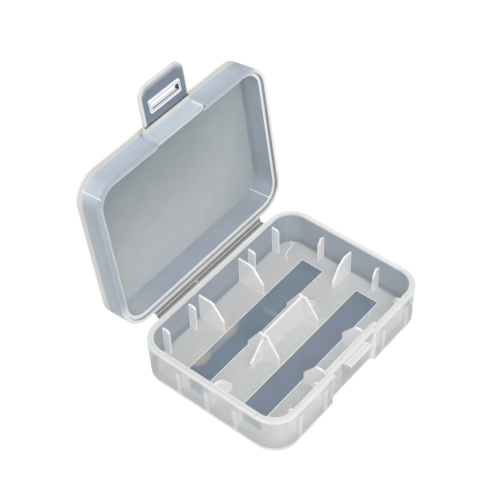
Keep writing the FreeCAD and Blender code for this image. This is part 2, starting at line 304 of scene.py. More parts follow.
# Fins, ribs and stops of the base
fin_words = ("fin", "rib", "stop")
wall_fin_colour = (246, 244, 244)
wall_fin_cover = 0.66
centre_fin_colour = (238, 237, 235)
centre_fin_cover = 0.6
fin_edge_highlight = (250, 251, 251)
fin_line_cover = 0.85
fin_edge_reach = 0.35 * mm
fin_join_start = 0.45 * mm
fin_join_full = 0.25 * mm
fin_foot_full = 0.2 * mm
fin_foot_share = 0.6
fin_roughness = 0.3

# Main hinge, with painted shade on its strips and beside the crease, a painted reflection along the crease,
# and the small bright spot of the mould's gate
hinge_base_shade = (130, 129, 130)
hinge_lid_shade = (158, 159, 157)
hinge_lid_start = (0.1 * mm, 0.3 * mm)
hinge_shadow = (106, 106, 105)
hinge_shadow_reach = (0.95 * mm, 0.7 * mm)
gate_spot = ((-7.4 * mm, 29.4 * mm), (0.5 * mm, 0.3 * mm), (226, 227, 226))
crease_reflection = (166, 166, 165)
hinge_roughness = 0.3
hinge_cover = 0.95

# Latch hinge, dark with painted shade in its fold, and the strip that carries it, lighter towards the crease
# from its thicker plastic and painted light
latch_crease_shade = (84, 82, 84)
latch_crease_roughness = 0.35
latch_crease_cover = 0.95
flange_colour = (184, 195, 203)
flange_thick_and_lit = (206, 206, 202)
flange_light_end = -29.2 * mm
flange_roughness = 0.32
flange_cover = 0.9

# Flap of the latch
flap_colour = (100, 112, 126)
flap_tip_colour = (172, 177, 184)
flap_tip_edge = (-2.6 * mm, -0.4 * mm)
flap_tip_start = 4 * mm
flap_tip_full = 2 * mm
flap_border_colour = (206, 207, 204)
flap_border = 0.9 * mm
flap_left_border = 0.45 * mm
flap_left = (-7 * mm, -8.5 * mm)
flap_border_fade = (-0.15 * mm, 0.25 * mm)
flap_roughness = 0.3
flap_cover = 0.92

# Slot of the latch and the collar round it, with painted light and shade on the walls, painted shade in the
# collar's groove and a painted shadow at the slot's right end
slot_start = (-1.8 * mm, -2 * mm)
slot_wall_lit = (226, 229, 231)
slot_wall_shade = (70, 74, 80)
slot_middle_fade = 0.5 * mm
slot_end_shadow = (24, 25, 27)
slot_end_start = 0.5 * mm
slot_end_full = 0.2 * mm
collar_colour = (224, 228, 230)
collar_groove_shade = (120, 130, 142)
collar_inner_shade = (110, 116, 124)
collar_inner_start = (0.3 * mm, 0.2 * mm)
groove_start = (0.3 * mm, 0.4 * mm)
groove_end = (0.65 * mm, 0.55 * mm)
collar_roughness = 0.3
collar_cover = 0.95

# Catch bar, with painted highlights on its edges and painted shade underneath
catch_colour = (208, 209, 207)
catch_edge_highlight = (248, 248, 246)
catch_under_shade = (128, 130, 130)
catch_edge_reach = 0.5 * mm
catch_roughness = 0.32
catch_cover = 0.75
catch_edge_cover = 0.95

# Moulding marks
mark_colour = (240, 243, 244)
faint_mark_colour = (188, 193, 196)
mark_roughness = 0.3
mark_cover = 0.9


def shade(screen_colour):
    """A colour as Blender takes it, from its 0 to 255 screen values."""
    light = []
    for value in screen_colour:
        share = value / screen_full
        if share <= screen_toe:
            light.append(share / screen_toe_slope)
        else:
            light.append(((share + screen_offset) / (1 + screen_offset)) ** screen_power)
    return (*light, 1.0)


def new_material(name):
    """An empty material with a Principled shader, and its tree."""
    material = bpy.data.materials.new(name)
    material.use_nodes = True
    tree = material.node_tree
    tree.nodes.clear()
    output = tree.nodes.new("ShaderNodeOutputMaterial")
    shader = tree.nodes.new("ShaderNodeBsdfPrincipled")
    tree.links.new(shader.outputs["BSDF"], output.inputs["Surface"])
    return material, tree, shader


def feed(tree, target, source):
    """Puts a number or another node's output on a socket."""
    if isinstance(source, bpy.types.NodeSocket):
        tree.links.new(source, target)
    else:
        target.default_value = source


def feed_colour(tree, target, source):
    """Puts a screen colour or another node's output on a colour socket."""
    linked = isinstance(source, bpy.types.NodeSocket)
    feed(tree, target, source if linked else shade(source))


def maths(tree, operation, first, second=0.0):
    """The result of one sum on two numbers."""
    node = tree.nodes.new("ShaderNodeMath")
    node.operation = operation
    feed(tree, node.inputs[0], first)
    feed(tree, node.inputs[1], second)
    return node.outputs[0]


def size_of(tree, value):
    """A number without its sign."""
    return maths(tree, "ABSOLUTE", value)


def both(tree, first, second):
    """The share where two shares meet."""
    return maths(tree, "MULTIPLY", first, second)


def either(tree, first, second):
    """The larger of two shares."""
    return maths(tree, "MAXIMUM", first, second)


def rest_of(tree, share):
    """What a share leaves of the whole."""
    return maths(tree, "SUBTRACT", 1.0, share)


def ramp(tree, value, low, high):
    """0 where value is at or under low, 1 at or over high, and smooth between. High may be under low."""
    node = tree.nodes.new("ShaderNodeMapRange")
    node.interpolation_type = "SMOOTHSTEP"
    feed(tree, node.inputs["Value"], value)
    node.inputs["From Min"].default_value = low
    node.inputs["From Max"].default_value = high
    return node.outputs["Result"]


def patch(tree, value, low, high, softness):
    """1 between two numbers, fading out past them."""
    rise = ramp(tree, value, low - softness, low + softness)
    fall = ramp(tree, value, high + softness, high - softness)
    return both(tree, rise, fall)


def mixed(tree, share, first, second):
    """A colour between two others."""
    node = tree.nodes.new("ShaderNodeMix")
    node.data_type = "RGBA"
    feed(tree, node.inputs[0], share)
    for socket, colour in zip(colour_inputs, (first, second)):
        feed_colour(tree, node.inputs[socket], colour)
    return node.outputs[colour_output]


def between(tree, share, first, second):
    """A number between two others."""
    node = tree.nodes.new("ShaderNodeMix")
    feed(tree, node.inputs[0], share)
    for socket, number in zip(number_inputs, (first, second)):
        feed(tree, node.inputs[socket], number)
    return node.outputs[0]


def place(tree):
    """Object coordinates, which are the case's own with the lid open at rest."""
    return tree.nodes.new("ShaderNodeTexCoord").outputs["Object"]


def facing(tree):
    """The way that a face looks, in the same coordinates."""
    return tree.nodes.new("ShaderNodeTexCoord").outputs["Normal"]


def shut_place(tree):
    """The place that a point of the lid has when the lid is shut."""
    turn = tree.nodes.new("ShaderNodeMapping")
    hinge = Vector((0, hinge_y, hinge_z))
    shift = hinge - Matrix.Rotation(lid_turn, 3, "X") @ hinge
    turn.inputs["Location"].default_value = shift
    turn.inputs["Rotation"].default_value = (lid_turn, 0, 0)
    feed(tree, turn.inputs["Vector"], place(tree))
    return turn.outputs["Vector"]


def shut_facing(tree):
    """The way that a face of the lid looks when the lid is shut."""
    turn = tree.nodes.new("ShaderNodeMapping")
    turn.vector_type = "NORMAL"
    turn.inputs["Rotation"].default_value = (lid_turn, 0, 0)
    feed(tree, turn.inputs["Vector"], facing(tree))
    return turn.outputs["Vector"]


def parts_of(tree, vector):
    """The X, Y and Z of a place or a direction."""
    node = tree.nodes.new("ShaderNodeSeparateXYZ")
    feed(tree, node.inputs["Vector"], vector)
    return node.outputs


def looks_inward(tree, spot, look):
    """1 on faces that look at the middle of the case, 0 on faces that look out of it."""
    spots = parts_of(tree, spot)
    looks = parts_of(tree, look)
    along = maths(tree, "MULTIPLY", spots["X"], looks["X"])
    across = maths(tree, "MULTIPLY", spots["Y"], looks["Y"])
    return ramp(tree, maths(tree, "ADD", along, across), side_softness, -side_softness)


def sum_of_squares(tree, first, second):
    """The square of the distance that two numbers make at a right angle."""
    return maths(tree, "ADD", maths(tree, "MULTIPLY", first, first), maths(tree, "MULTIPLY", second, second))


def length_of(tree, first, second):
    """The distance that two numbers make at a right angle."""
    return maths(tree, "SQRT", sum_of_squares(tree, first, second))


def past_outline(tree, spot, middle_y, half_x, half_y, corner):
    """How far a point lies outside a rounded rectangle seen from above, under 0 inside it."""
    centred = tree.nodes.new("ShaderNodeVectorMath")
    centred.operation = "SUBTRACT"
    feed(tree, centred.inputs[0], spot)
    centred.inputs[1].default_value = (0, middle_y, 0)
    folded = tree.nodes.new("ShaderNodeVectorMath")
    folded.operation = "ABSOLUTE"
    feed(tree, folded.inputs[0], centred.outputs["Vector"])
    sides = parts_of(tree, folded.outputs["Vector"])
    over_x = maths(tree, "SUBTRACT", sides["X"], half_x - corner)
    over_y = maths(tree, "SUBTRACT", sides["Y"], half_y - corner)
    outside = length_of(tree, maths(tree, "MAXIMUM", over_x, 0.0), maths(tree, "MAXIMUM", over_y, 0.0))
    inside = maths(tree, "MINIMUM", maths(tree, "MAXIMUM", over_x, over_y), 0.0)
    return maths(tree, "SUBTRACT", maths(tree, "ADD", outside, inside), corner)


def clouds(tree, vector, size, low, high):
    """A slow cloudy change between two numbers, as unevenly cooled plastic has."""
    noise = tree.nodes.new("ShaderNodeTexNoise")
    noise.inputs["Scale"].default_value = 1 / size
    noise.inputs["Detail"].default_value = cloud_detail
    feed(tree, noise.inputs["Vector"], vector)
    spread = tree.nodes.new("ShaderNodeMapRange")
    feed(tree, spread.inputs["Value"], noise.outputs["Fac"])
    spread.inputs["From Min"].default_value = cloud_range[0]
    spread.inputs["From Max"].default_value = cloud_range[1]
    spread.inputs["To Min"].default_value = low
    spread.inputs["To Max"].default_value = high
    return spread.outputs["Result"]


def uneven(tree, colour, vector, size, amount):
    """A colour made slightly lighter and darker in slow clouds."""
    lighten = tree.nodes.new("ShaderNodeHueSaturation")
    feed_colour(tree, lighten.inputs["Color"], colour)
    feed(tree, lighten.inputs["Value"], clouds(tree, vector, size, 1 - amount, 1 + amount))
    return lighten.outputs["Color"]


def grained(tree, shader, vector, size, depth):
    """Fine grain of the mould's own surface."""
    noise = tree.nodes.new("ShaderNodeTexNoise")
    noise.inputs["Scale"].default_value = 1 / size
    noise.inputs["Detail"].default_value = grain_detail
    feed(tree, noise.inputs["Vector"], vector)
    bump = tree.nodes.new("ShaderNodeBump")
    bump.inputs["Strength"].default_value = grain_strength
    bump.inputs["Distance"].default_value = depth
    feed(tree, bump.inputs["Height"], noise.outputs["Fac"])
    feed(tree, shader.inputs["Normal"], bump.outputs["Normal"])


def near_edge(tree, reach):
    """1 at the sharp edges of a solid, fading to 0 at reach from them."""
    rounded = tree.nodes.new("ShaderNodeBevel")
    rounded.samples = edge_samples
    rounded.inputs["Radius"].default_value = reach
    flat = tree.nodes.new("ShaderNodeNewGeometry")
    agree = tree.nodes.new("ShaderNodeVectorMath")
    agree.operation = "DOT_PRODUCT"
    feed(tree, agree.inputs[0], rounded.outputs["Normal"])
    feed(tree, agree.inputs[1], flat.outputs["Normal"])
    return ramp(tree, agree.outputs["Value"], *edge_agreement)


def for_lamps(tree, alpha):
    """Thinner to the lamps' light than to the eye, as milky plastic passes the light that it blurs."""
    path = tree.nodes.new("ShaderNodeLightPath")
    kept = between(tree, path.outputs["Is Shadow Ray"], 1.0, shadow_share)
    return maths(tree, "MULTIPLY", alpha, kept)


def finish_plastic(tree, shader, colour, roughness, cover):
    """Gives the shader its colour, its roughness, and how much it covers of what lies behind."""
    shader.inputs["IOR"].default_value = plastic_index
    feed_colour(tree, shader.inputs["Base Color"], colour)
    feed(tree, shader.inputs["Roughness"], roughness)
    feed(tree, shader.inputs["Alpha"], for_lamps(tree, cover))


def plain_plastic(name, colour, roughness, cover):
    """A plastic of one even colour."""
    material, tree, shader = new_material(name)
    finish_plastic(tree, shader, colour, roughness, cover)
    return material


def cloudy_plastic(name, colour, cloud, roughness, cover):
    """A plastic of one colour in slow clouds."""
    material, tree, shader = new_material(name)
    colour = uneven(tree, colour, place(tree), *cloud)
    finish_plastic(tree, shader, colour, roughness, cover)
    return material


def soft_spot(tree, spot, middle, reach):
    """1 at a place seen from above, fading to 0 round it in an oval."""
    sides = parts_of(tree, spot)
    over_x = maths(tree, "DIVIDE", maths(tree, "SUBTRACT", sides["X"], middle[0]), reach[0])
    over_y = maths(tree, "DIVIDE", maths(tree, "SUBTRACT", sides["Y"], middle[1]), reach[1])
    return ramp(tree, sum_of_squares(tree, over_x, over_y), *spot_fade)


def spotted(tree, colour, spot, mark_and_reflection):
    """A colour with one soft oval spot of another colour on it."""
    middle, reach, spot_colour = mark_and_reflection
    return mixed(tree, soft_spot(tree, spot, middle, reach), colour, spot_colour)


def before_recess(tree, spot):
    """1 in front of the thin wall at the back of the latch recess."""
    return ramp(tree, parts_of(tree, spot)["Y"], -recess_back, -recess_back - band_softness)


def recess_cheek(tree, spot, look):
    """1 on the two small side walls of the latch recess, which carry a painted highlight."""
    turned = ramp(tree, size_of(tree, parts_of(tree, look)["X"]), *sideways)
    away = size_of(tree, parts_of(tree, spot)["X"])
    near = ramp(tree, away, recess_half * cheek_end_share, recess_half * cheek_full_share)
    return both(tree, both(tree, turned, near), before_recess(tree, spot))


def in_recess(tree, spot):
    """1 over the thin wall at the back of the latch recess."""
    near = ramp(tree, size_of(tree, parts_of(tree, spot)["X"]), recess_half + band_softness, recess_half)
    return both(tree, near, before_recess(tree, spot))


def lit_side(tree, spot):
    """1 along the right and hinge sides of the shut lid, whose rims shine, 0 along the left and front."""
    sides = parts_of(tree, spot)
    return either(tree, ramp(tree, sides["X"], *lit_right), ramp(tree, sides["Y"], *lit_hinge))


def lit_rim(tree, spot):
    """1 towards the right end of the base's rim, fading to 0 at the left and the front."""
    sides = parts_of(tree, spot)
    return both(tree, ramp(tree, sides["X"], *rim_lit_along), ramp(tree, sides["Y"], *rim_lit_across))


def fin_roots(tree, spot):
    """1 in upright bars where fins stand against the far side of the wall."""
    sides = parts_of(tree, spot)
    along = size_of(tree, sides["X"])
    across = size_of(tree, sides["Y"])
    walls = (
        (along, long_wall_fins, across, inner_half_width),
        (across, end_wall_fins, along, inner_half_length),
    )
    bars = 0.0
    for value, fins, reach, wall in walls:
        for fin in fins:
            away = size_of(tree, maths(tree, "SUBTRACT", value, fin))
            near = ramp(tree, away, root_half + root_softness, root_half - root_softness)
            bar = both(tree, near, ramp(tree, reach, wall - band_softness, wall))
            bars = either(tree, bars, bar)
    return both(tree, bars, ramp(tree, sides["Z"], root_top + band_softness, root_top - band_softness))


def windows_through(tree, spot):
    """1 in the two soft patches of painted shade where the dark windows show bent through the end walls."""
    sides = parts_of(tree, spot)
    ends = ramp(tree, size_of(tree, sides["X"]), inner_half_length, inner_half_length + band_softness)
    hinge = both(tree, patch(tree, sides["Y"], *hinge_patch_across), patch(tree, sides["Z"], *hinge_patch_up))
    front = both(tree, patch(tree, sides["Y"], *front_patch_across), patch(tree, sides["Z"], *front_patch_up))
    return both(tree, ends, either(tree, hinge, front))


def base_wall_plastic():
    """See-through milky walls, with painted shade on their inner faces, in the recess, under the catch and
    where the windows show through, and painted light on the front, at the foot, in pale bars where fins join
    and on the recess cheeks.
    """
    material, tree, shader = new_material("base_wall_plastic")
    spot = place(tree)
    look = facing(tree)
    spots = parts_of(tree, spot)
    looks = parts_of(tree, look)
    inward = looks_inward(tree, spot, look)
    outward = rest_of(tree, inward)
    recess_shade_mask = both(tree, outward, in_recess(tree, spot))
    # Painted light on the outer faces towards the foot
    low = both(tree, outward, ramp(tree, spots["Z"], *foot_painted_light_heights))
    ledge = ramp(tree, looks["Z"], *upward)
    cheek_highlight_mask = recess_cheek(tree, spot, look)
    roots_lit_mask = both(tree, outward, fin_roots(tree, spot))
    windows = both(tree, outward, windows_through(tree, spot))
    near = both(tree, inward, ramp(tree, maths(tree, "ADD", looks["X"], looks["Y"]), *near_side))
    catch_shadow_mask = ramp(tree, size_of(tree, spots["X"]), catch_half + band_softness, catch_half)
    # Painted shade on the inner faces, lighter on the near walls; painted light on the outer faces that look
    # to the front
    inner = mixed(tree, near, wall_inner_far_shade, wall_inner_near_lit)
    outer = mixed(tree, ramp(tree, looks["Y"], *frontward), wall_outer, wall_outer_front_lit)
    colour = mixed(tree, inward, outer, inner)
    colour = mixed(tree, low, colour, wall_foot_lit)
    # Painted shade where the dark windows show through the end walls
    colour = mixed(tree, windows, colour, wall_window_shade)
    # Painted shade over the recess wall, and a darker painted shadow under the catch
    colour = mixed(tree, recess_shade_mask, colour, wall_recess_shade)
    colour = mixed(tree, both(tree, recess_shade_mask, catch_shadow_mask), colour, wall_catch_shadow)
    # Pale bars where fins stand behind the wall: the fins seen through, lightened with painted light
    colour = mixed(tree, roots_lit_mask, colour, wall_root_lit)
    # Painted highlight on the recess cheeks
    colour = mixed(tree, cheek_highlight_mask, colour, wall_cheek_highlight)
    # Painted light on the wall's top ledge, more towards the right end
    colour = mixed(tree, ledge, colour, mixed(tree, lit_rim(tree, spot), ledge_dim, ledge_lit))
    colour = uneven(tree, colour, spot, *wall_clouds)
    shaded = between(tree, catch_shadow_mask, wall_recess_cover, wall_catch_cover)
    marked = between(tree, either(tree, roots_lit_mask, windows), wall_outer_cover, wall_marked_cover)
    outer_cover = between(tree, recess_shade_mask, marked, shaded)
    inner_cover = between(tree, near, wall_far_cover, wall_near_cover)
    thin = between(tree, inward, outer_cover, inner_cover)
    cover = between(tree, either(tree, ledge, cheek_highlight_mask), thin, wall_solid_cover)
    finish_plastic(tree, shader, colour, wall_roughness, cover)
    return material


def lid_rim_colour(tree, spot):
    """The lid's rim: a painted highlight along its inner edge, clear on the lit sides and soft on the others.
    """
    lit = lit_side(tree, spot)
    past = past_outline(tree, spot, 0.0, lid_inner_half_length, lid_inner_half_width, lid_inner_corner)
    widened = ramp(tree, parts_of(tree, spot)["Y"], *rim_line_widens)
    line_end = between(tree, widened, rim_line_width, rim_line_hinge_width)
    clear = ramp(tree, maths(tree, "SUBTRACT", past, line_end), *rim_line_fade)
    share = between(tree, lit, ramp(tree, past, *rim_line_dim_fade), clear)
    line = mixed(tree, lit, rim_highlight_dim, rim_highlight_lit)
    beside = mixed(tree, lit, rim_beside_dim, rim_beside_lit)
    return mixed(tree, share, beside, line)


def lid_wall_plastic():
    """The lid's walls, bluish outside, with painted shade on their inner faces, painted light by side, at the
    bent corners and in the recess, and a painted highlight band along the lid's top.
    """
    material, tree, shader = new_material("lid_wall_plastic")
    spot = shut_place(tree)
    look = shut_facing(tree)
    spots = parts_of(tree, spot)
    looks = parts_of(tree, look)
    inward = looks_inward(tree, spot, look)
    outward = rest_of(tree, inward)
    front = ramp(tree, looks["Y"], *frontward)
    # Painted shade on the inner faces, lighter at the left; painted light on the outer faces that look to the
    # front
    inner = mixed(tree, front, lid_inner_shade, lid_inner_hinge_shade)
    inner = mixed(tree, ramp(tree, spots["X"], *lid_inner_left_along), inner, lid_inner_left_lit)
    outer = mixed(tree, front, lid_outer, lid_outer_front_lit)
    colour = mixed(tree, inward, outer, inner)
    # Painted highlight on the bent corners at the left
    turned = ramp(tree, size_of(tree, looks["Y"]), *corner_bend)
    corner = both(tree, ramp(tree, looks["X"], *left_bend), turned)
    bent = mixed(tree, ramp(tree, looks["Y"], *corner_way), lid_bend_highlight_front, lid_bend_highlight_hinge)
    colour = mixed(tree, both(tree, outward, corner), colour, bent)
    # Painted light over the lid's recess
    colour = mixed(tree, both(tree, outward, in_recess(tree, spot)), colour, lid_recess_lit)
    # Painted highlight band along the lid's top
    start, full = (lid_top - lid_edge_band + step for step in lid_edge_fade)
    colour = mixed(tree, both(tree, outward, ramp(tree, spots["Z"], start, full)), colour, lid_edge_highlight)
    # Painted highlight along the rim's inner edge
    colour = mixed(tree, ramp(tree, looks["Z"], *downward), colour, lid_rim_colour(tree, spot))
    # Painted highlight on the recess cheeks
    colour = mixed(tree, recess_cheek(tree, spot, look), colour, lid_cheek_highlight)
    colour = uneven(tree, colour, spot, *lid_clouds)
    cover = between(tree, inward, lid_outer_cover, lid_inner_cover)
    finish_plastic(tree, shader, colour, lid_roughness, cover)
    grained(tree, shader, spot, *wall_grain)
    return material


def skirt_plastic():
    """The skirt round the lid's rim: painted light on its lit sides, painted shade in the groove that it
    makes.
    """
    material, tree, shader = new_material("skirt_plastic")
    spot = shut_place(tree)
    look = shut_facing(tree)
    flat = ramp(tree, parts_of(tree, look)["Z"], *downward)
    groove = both(tree, looks_inward(tree, spot, look), rest_of(tree, flat))
    # Painted light on the lit sides, painted shade in the groove
    outer = mixed(tree, lit_side(tree, spot), skirt_dim, skirt_lit)
    colour = mixed(tree, groove, outer, skirt_groove_shade)
    colour = uneven(tree, colour, spot, *skirt_clouds)
    finish_plastic(tree, shader, colour, skirt_roughness, skirt_cover)
    return material


def panel_plastic():
    """Fine matt grey plastic of the lid's panel, with painted shade at the front, painted light towards the
    hinge and the right, and a painted highlight along its outer edge.
    """
    material, tree, shader = new_material("panel_plastic")
    spot = shut_place(tree)
    spots = parts_of(tree, spot)
    level = size_of(tree, parts_of(tree, shut_facing(tree))["Z"])
    # Painted shade at the front, painted light towards the hinge and the right
    colour = mixed(tree, ramp(tree, spots["Y"], *panel_hinge_across), panel_front_shade, panel_hinge_lit)
    colour = mixed(tree, ramp(tree, spots["X"], *panel_right_along), colour, panel_right_lit)
    colour = uneven(tree, colour, spot, *panel_clouds)
    colour = uneven(tree, colour, spot, *panel_speckle)
    # Painted highlight along the panel's bent edge
    colour = mixed(tree, ramp(tree, level, *panel_bend), colour, panel_edge_highlight)
    finish_plastic(tree, shader, colour, panel_roughness, panel_cover)
    grained(tree, shader, spot, *panel_grain)
    return material


def lip_plastic():
    """Milky thick plastic of the base's raised rim, with painted light towards its right end and painted
    highlights along its edges.
    """
    material, tree, shader = new_material("rim_plastic")
    spot = place(tree)
    level = mixed(tree, lit_rim(tree, spot), lip_dim, lip_lit)
    colour = mixed(tree, near_edge(tree, lip_edge_reach), level, lip_edge_highlight)
    colour = uneven(tree, colour, spot, *lip_clouds)
    finish_plastic(tree, shader, colour, lip_roughness, lip_cover)
    grained(tree, shader, spot, *thin_grain)
    return material


def window_highlight_line(tree, spot):
    """1 in the thin line of painted highlight on the floor round each of its two windows."""
    sides = parts_of(tree, spot)
    row_spot = tree.nodes.new("ShaderNodeCombineXYZ")
    feed(tree, row_spot.inputs["X"], sides["X"])
    feed(tree, row_spot.inputs["Y"], maths(tree, "SUBTRACT", size_of(tree, sides["Y"]), pane_row))
    past = past_outline(tree, row_spot.outputs["Vector"], 0.0, pane_half_length, pane_half_width, pane_corner)
    return ramp(tree, past, *floor_line_fade)


def floor_plastic():
    """Pale plastic of the floor, with a painted highlight line round each window and a cream band round its
    foot, darker with painted shade at the front.
    """
    material, tree, shader = new_material("floor_plastic")
    spot = place(tree)
    looks = parts_of(tree, facing(tree))
    # Painted highlight in a thin line round each window
    colour = mixed(tree, window_highlight_line(tree, spot), floor_colour, window_edge_highlight)
    colour = uneven(tree, colour, spot, *floor_clouds)
    # Painted shade on the front of the foot band
    foot = mixed(tree, ramp(tree, looks["Y"], *foot_frontward), foot_colour, foot_front_shade)
    colour = mixed(tree, ramp(tree, size_of(tree, looks["Z"]), *off_level), colour, foot)
    finish_plastic(tree, shader, colour, floor_roughness, floor_cover)
    grained(tree, shader, spot, *floor_grain)
    return material


def pane_plastic():
    """Smooth clear plastic of the two long windows, dark with painted shade for the shadowed floor seen
    through them, with painted reflections in soft spots.
    """
    material, tree, shader = new_material("pane_plastic")
    spot = place(tree)
    colour = uneven(tree, pane_shade_colour, spot, *pane_clouds)
    # Painted reflections in soft spots
    for mark_and_reflection in (broad_reflection, left_reflection, middle_reflection, swirl_reflection):
        colour = spotted(tree, colour, spot, mark_and_reflection)
    finish_plastic(tree, shader, colour, pane_roughness, pane_cover)
    grained(tree, shader, spot, *pane_waves)
    return material


def fin_plastic(name, colour, cover):
    """Thin translucent fins with painted highlights on their edges and in lines where they join the walls and
    the floor.
    """
    material, tree, shader = new_material(name)
    spot = place(tree)
    sides = parts_of(tree, spot)
    edge = near_edge(tree, fin_edge_reach)
    for side, wall in ((sides["X"], inner_half_length), (sides["Y"], inner_half_width)):
        join = ramp(tree, size_of(tree, side), wall - fin_join_start, wall - fin_join_full)
        edge = either(tree, edge, join)
    foot = ramp(tree, sides["Z"], floor_top + fin_join_start, floor_top + fin_foot_full)
    edge = either(tree, edge, both(tree, foot, fin_foot_share))
    # Painted highlight on the edges and joins
    colour = mixed(tree, edge, colour, fin_edge_highlight)
    colour = uneven(tree, colour, spot, *fin_clouds)
    finish_plastic(tree, shader, colour, fin_roughness, between(tree, edge, cover, fin_line_cover))
    grained(tree, shader, spot, *thin_grain)
    return material


def hinge_plastic():
    """The strips on both sides of the main hinge, grey with painted shade, darker on the base's side and
    darkest beside the crease.
    """
    material, tree, shader = new_material("hinge_plastic")
    spot = place(tree)
    sides = parts_of(tree, spot)
    over_y = maths(tree, "SUBTRACT", sides["Y"], hinge_y)
    over_z = maths(tree, "SUBTRACT", sides["Z"], hinge_z)
    away = length_of(tree, over_y, over_z)
    # Painted shade on the strips, darkest beside the crease
    colour = mixed(tree, ramp(tree, over_z, *hinge_lid_start), hinge_base_shade, hinge_lid_shade)
    colour = mixed(tree, ramp(tree, away, *hinge_shadow_reach), colour, hinge_shadow)
    colour = uneven(tree, colour, spot, *hinge_clouds)
    colour = spotted(tree, colour, spot, gate_spot)
    finish_plastic(tree, shader, colour, hinge_roughness, hinge_cover)
    return material


def latch_flange_plastic():
    """The strip that carries the latch: lighter towards the crease, from its thicker plastic and from painted
    light, like the wall beside the lid.
    """
    material, tree, shader = new_material("latch_flange_plastic")
    spot = shut_place(tree)
    across = parts_of(tree, spot)["Y"]
    light = ramp(tree, across, flange_light_end + band_softness, flange_light_end - band_softness)
    # Lighter towards the crease: thicker plastic, and painted light
    colour = mixed(tree, light, flange_colour, flange_thick_and_lit)
    colour = uneven(tree, colour, spot, *flange_clouds)
    finish_plastic(tree, shader, colour, flange_roughness, flange_cover)
    grained(tree, shader, spot, *wall_grain)
    return material


def slot_end(tree, spot):
    """1 at the right end of the latch's slot, where a painted shadow lies."""
    along = parts_of(tree, spot)["X"]
    return ramp(tree, along, slot_half_length - slot_end_start, slot_half_length - slot_end_full)


def slot_wall(tree):
    """1 on the latch's upright faces, such as the walls of its slot."""
    return ramp(tree, size_of(tree, parts_of(tree, shut_facing(tree))["Z"]), *upright)


def flap_plastic():
    """The latch's flap, slate with a pale border, with painted light and painted shade on the walls of its
    slot and a painted shadow at its right end.
    """
    material, tree, shader = new_material("flap_plastic")
    spot = shut_place(tree)
    sides = parts_of(tree, spot)
    depth = past_outline(tree, spot, flap_tip + flap_reach, flap_half, flap_reach, flap_round)
    at_tip = ramp(tree, sides["Y"], flap_tip + flap_tip_start, flap_tip + flap_tip_full)
    tip = both(tree, ramp(tree, depth, *flap_tip_edge), at_tip)
    width = between(tree, ramp(tree, sides["X"], *flap_left), flap_left_border, flap_border)
    border = ramp(tree, maths(tree, "ADD", depth, width), *flap_border_fade)
    in_slot = both(tree, slot_wall(tree), ramp(tree, depth, *slot_start))
    outer_side = ramp(tree, sides["Y"], slot_y + slot_middle_fade, slot_y - slot_middle_fade)
    # Painted light on one wall of the slot, painted shade on the other, and a painted shadow at its right end
    slot_colour = mixed(tree, outer_side, slot_wall_lit, slot_wall_shade)
    slot_colour = mixed(tree, slot_end(tree, spot), slot_colour, slot_end_shadow)
    colour = mixed(tree, tip, flap_colour, flap_tip_colour)
    colour = mixed(tree, border, colour, flap_border_colour)
    colour = mixed(tree, in_slot, colour, slot_colour)
    colour = uneven(tree, colour, spot, *flap_clouds)
    finish_plastic(tree, shader, colour, flap_roughness, flap_cover)
    grained(tree, shader, spot, *flap_grain)
    return material


def collar_plastic():
    """The raised collar round the latch's slot, pale with a line of painted shade inside, and painted shade
    on its inner walls.
    """
    material, tree, shader = new_material("collar_plastic")
    spot = shut_place(tree)
    past = past_outline(tree, spot, slot_y, slot_half_length, slot_half_width, slot_corner)
    groove = both(tree, ramp(tree, past, *groove_start), ramp(tree, past, *groove_end))
    inner = both(tree, slot_wall(tree), ramp(tree, past, *collar_inner_start))
    # Painted shade on the collar's inner walls, with the painted shadow at the slot's right end
    inner_colour = mixed(tree, slot_end(tree, spot), collar_inner_shade, slot_end_shadow)
    colour = mixed(tree, groove, collar_colour, collar_groove_shade)
    colour = mixed(tree, inner, colour, inner_colour)
    finish_plastic(tree, shader, colour, collar_roughness, collar_cover)
    return material


def catch_plastic():
    """The catch bar, pale with painted highlights on its edges and painted shade underneath."""
    material, tree, shader = new_material("catch_plastic")
    under = ramp(tree, parts_of(tree, facing(tree))["Z"], *underneath)
    edge = near_edge(tree, catch_edge_reach)
    # Painted highlight on the edges, painted shade underneath
    colour = mixed(tree, edge, catch_colour, catch_edge_highlight)
    colour = mixed(tree, under, colour, catch_under_shade)
    finish_plastic(tree, shader, colour, catch_roughness, between(tree, edge, catch_cover, catch_edge_cover))
    return material


def dress(material, *nodes):
    """Gives CAD nodes their finish."""
    for name in nodes:
        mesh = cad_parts[name].data
        mesh.materials.clear()
        mesh.materials.append(material)


def dress_case():
    """Gives every CAD node its finish."""
    wall_fins = fin_plastic("wall_fin_plastic", wall_fin_colour, wall_fin_cover)
    centre_fins = fin_plastic("centre_fin_plastic", centre_fin_colour, centre_fin_cover)
    # Painted reflection along the main hinge's crease
    crease = cloudy_plastic("crease_reflection_plastic", crease_reflection, crease_clouds, hinge_roughness, hinge_cover)
    # Painted shade in the fold of the latch hinge
    latch_crease = cloudy_plastic("latch_crease_shade_plastic", latch_crease_shade, latch_crease_clouds,
                                  latch_crease_roughness, latch_crease_cover)
    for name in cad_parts:
        if "centre" in name:
            dress(centre_fins, name)
        elif any(word in name for word in fin_words):
            dress(wall_fins, name)
    dress(floor_plastic(), "base_floor")
    dress(pane_plastic(), "floor_pane_front", "floor_pane_hinge")
    dress(base_wall_plastic(), "base_walls")
    dress(lip_plastic(), "base_lip")
    dress(catch_plastic(), "catch_bar")
    dress(skirt_plastic(), "lid_skirt")
    dress(lid_wall_plastic(), "lid_walls")
    dress(panel_plastic(), "lid_panel")
    dress(hinge_plastic(), "base_hinge_flange", "lid_hinge_flange")
    dress(crease, "main_hinge_web")
    dress(latch_flange_plastic(), "latch_flange")
    dress(latch_crease, "latch_hinge_web")
    dress(flap_plastic(), "latch_flap")
    dress(collar_plastic(), "latch_collar")


